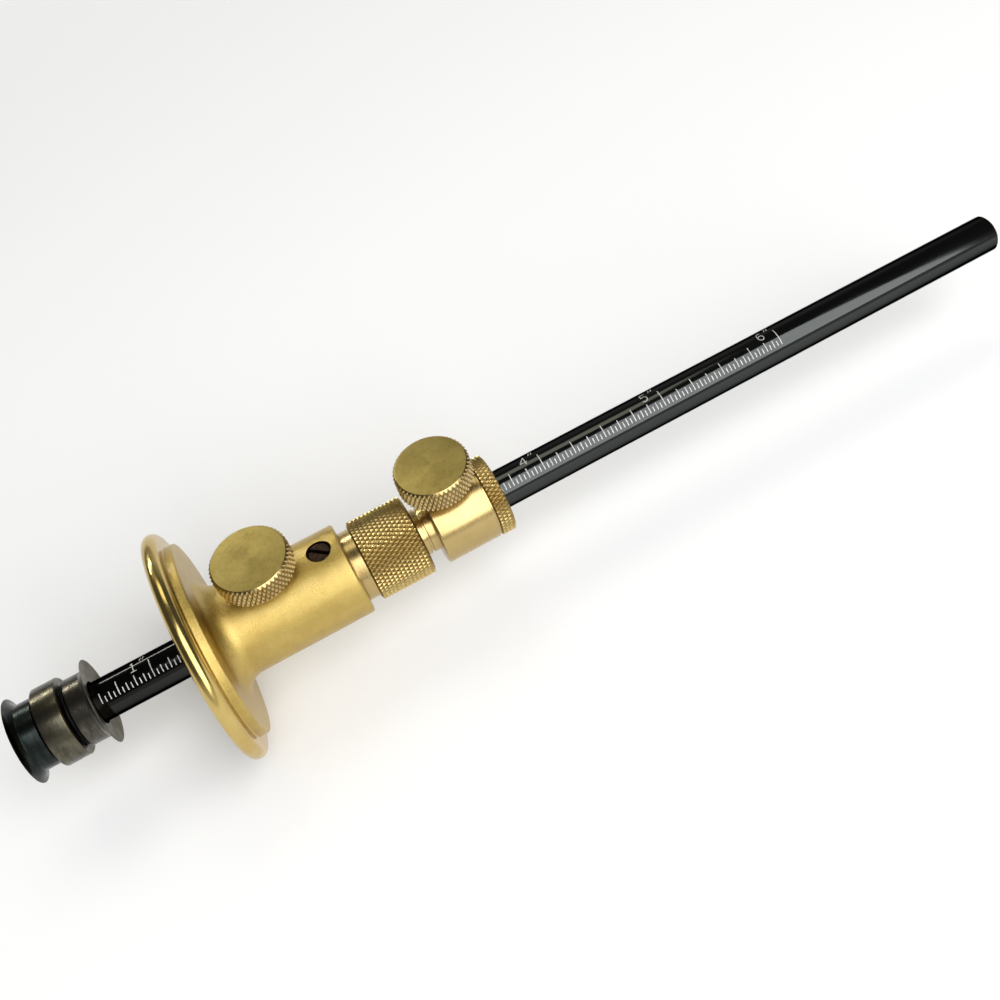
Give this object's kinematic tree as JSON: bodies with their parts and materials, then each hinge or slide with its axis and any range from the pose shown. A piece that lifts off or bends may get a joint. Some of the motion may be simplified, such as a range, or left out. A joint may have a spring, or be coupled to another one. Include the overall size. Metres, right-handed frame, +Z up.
{
  "type": "mortise gauge",
  "caption": "Mortise gauge: two cutter wheels on a round steel rod, a sliding round brass fence with thumb screw, and a knurled screw fine adjustment.",
  "frame": {"origin": "middle of the gauge's length, in the plane of symmetry, on the surface that the bottom of the fence's rim touches", "axes": "+X along the rod from the cutter wheels towards its plain end, +Z up along both thumb screws"},
  "size_m": [0.201, 0.0434, 0.0434],
  "materials": {
    "rod": "glossy black oxide on polished steel",
    "outer_cutter": "dark hardened steel",
    "inner_cutter": "hardened steel, turned face",
    "spacer": "turned steel",
    "shim": "dark steel",
    "cutter_screw": "blackened steel",
    "keeper_screw": "dark steel",
    "fence": "satin blasted, polished rim",
    "thimble": "diamond knurled",
    "collar": "turned and polished, knurled band",
    "fence_screw": "turned face, diamond knurled edge",
    "collar_screw": "turned face, diamond knurled edge"
  },
  "bodies": {
    "beam": {"beam_rod": "rod", "outer_cutter_wheel": "outer_cutter", "inner_cutter_wheel": "inner_cutter", "spacer_sleeve": "spacer", "shim_washer": "shim", "cutter_screw": "cutter_screw"},
    "fence": {"fence_body": "fence", "thimble_keeper_screw": "keeper_screw"},
    "fence_screw": {"fence_thumb_screw": "fence_screw"},
    "thimble": {"adjuster_thimble": "thimble"},
    "collar": {"locking_collar": "collar"},
    "collar_screw": {"collar_thumb_screw": "collar_screw"}
  },
  "joints": [
    {"name": "fence_slide", "type": "slide", "parent": "beam", "child": "fence", "axis": [1, 0, 0], "range_m": [-0.0177, 0.104]},
    {"name": "collar_feed", "type": "slide", "parent": "fence", "child": "collar", "axis": [1, 0, 0], "range_m": [-0.00245, 0.005]},
    {"name": "thimble_turn", "type": "hinge", "parent": "fence", "child": "thimble", "pos_m": [-0.03085, 0, 0.02172], "axis": [1, 0, 0], "range_deg": [-2405, 1180]},
    {"name": "fence_screw_turn", "type": "hinge", "parent": "fence", "child": "fence_screw", "pos_m": [-0.05292, 0, 0.02172], "axis": [0, 0, 1], "range_deg": [0, 360]},
    {"name": "collar_screw_turn", "type": "hinge", "parent": "collar", "child": "collar_screw", "pos_m": [-0.01873, 0, 0.02172], "axis": [0, 0, 1], "range_deg": [0, 360]}
  ],
  "couplings": [
    {"joint": "thimble_turn", "follows": "collar_feed", "rad_per_m": -8377.6}
  ]
}
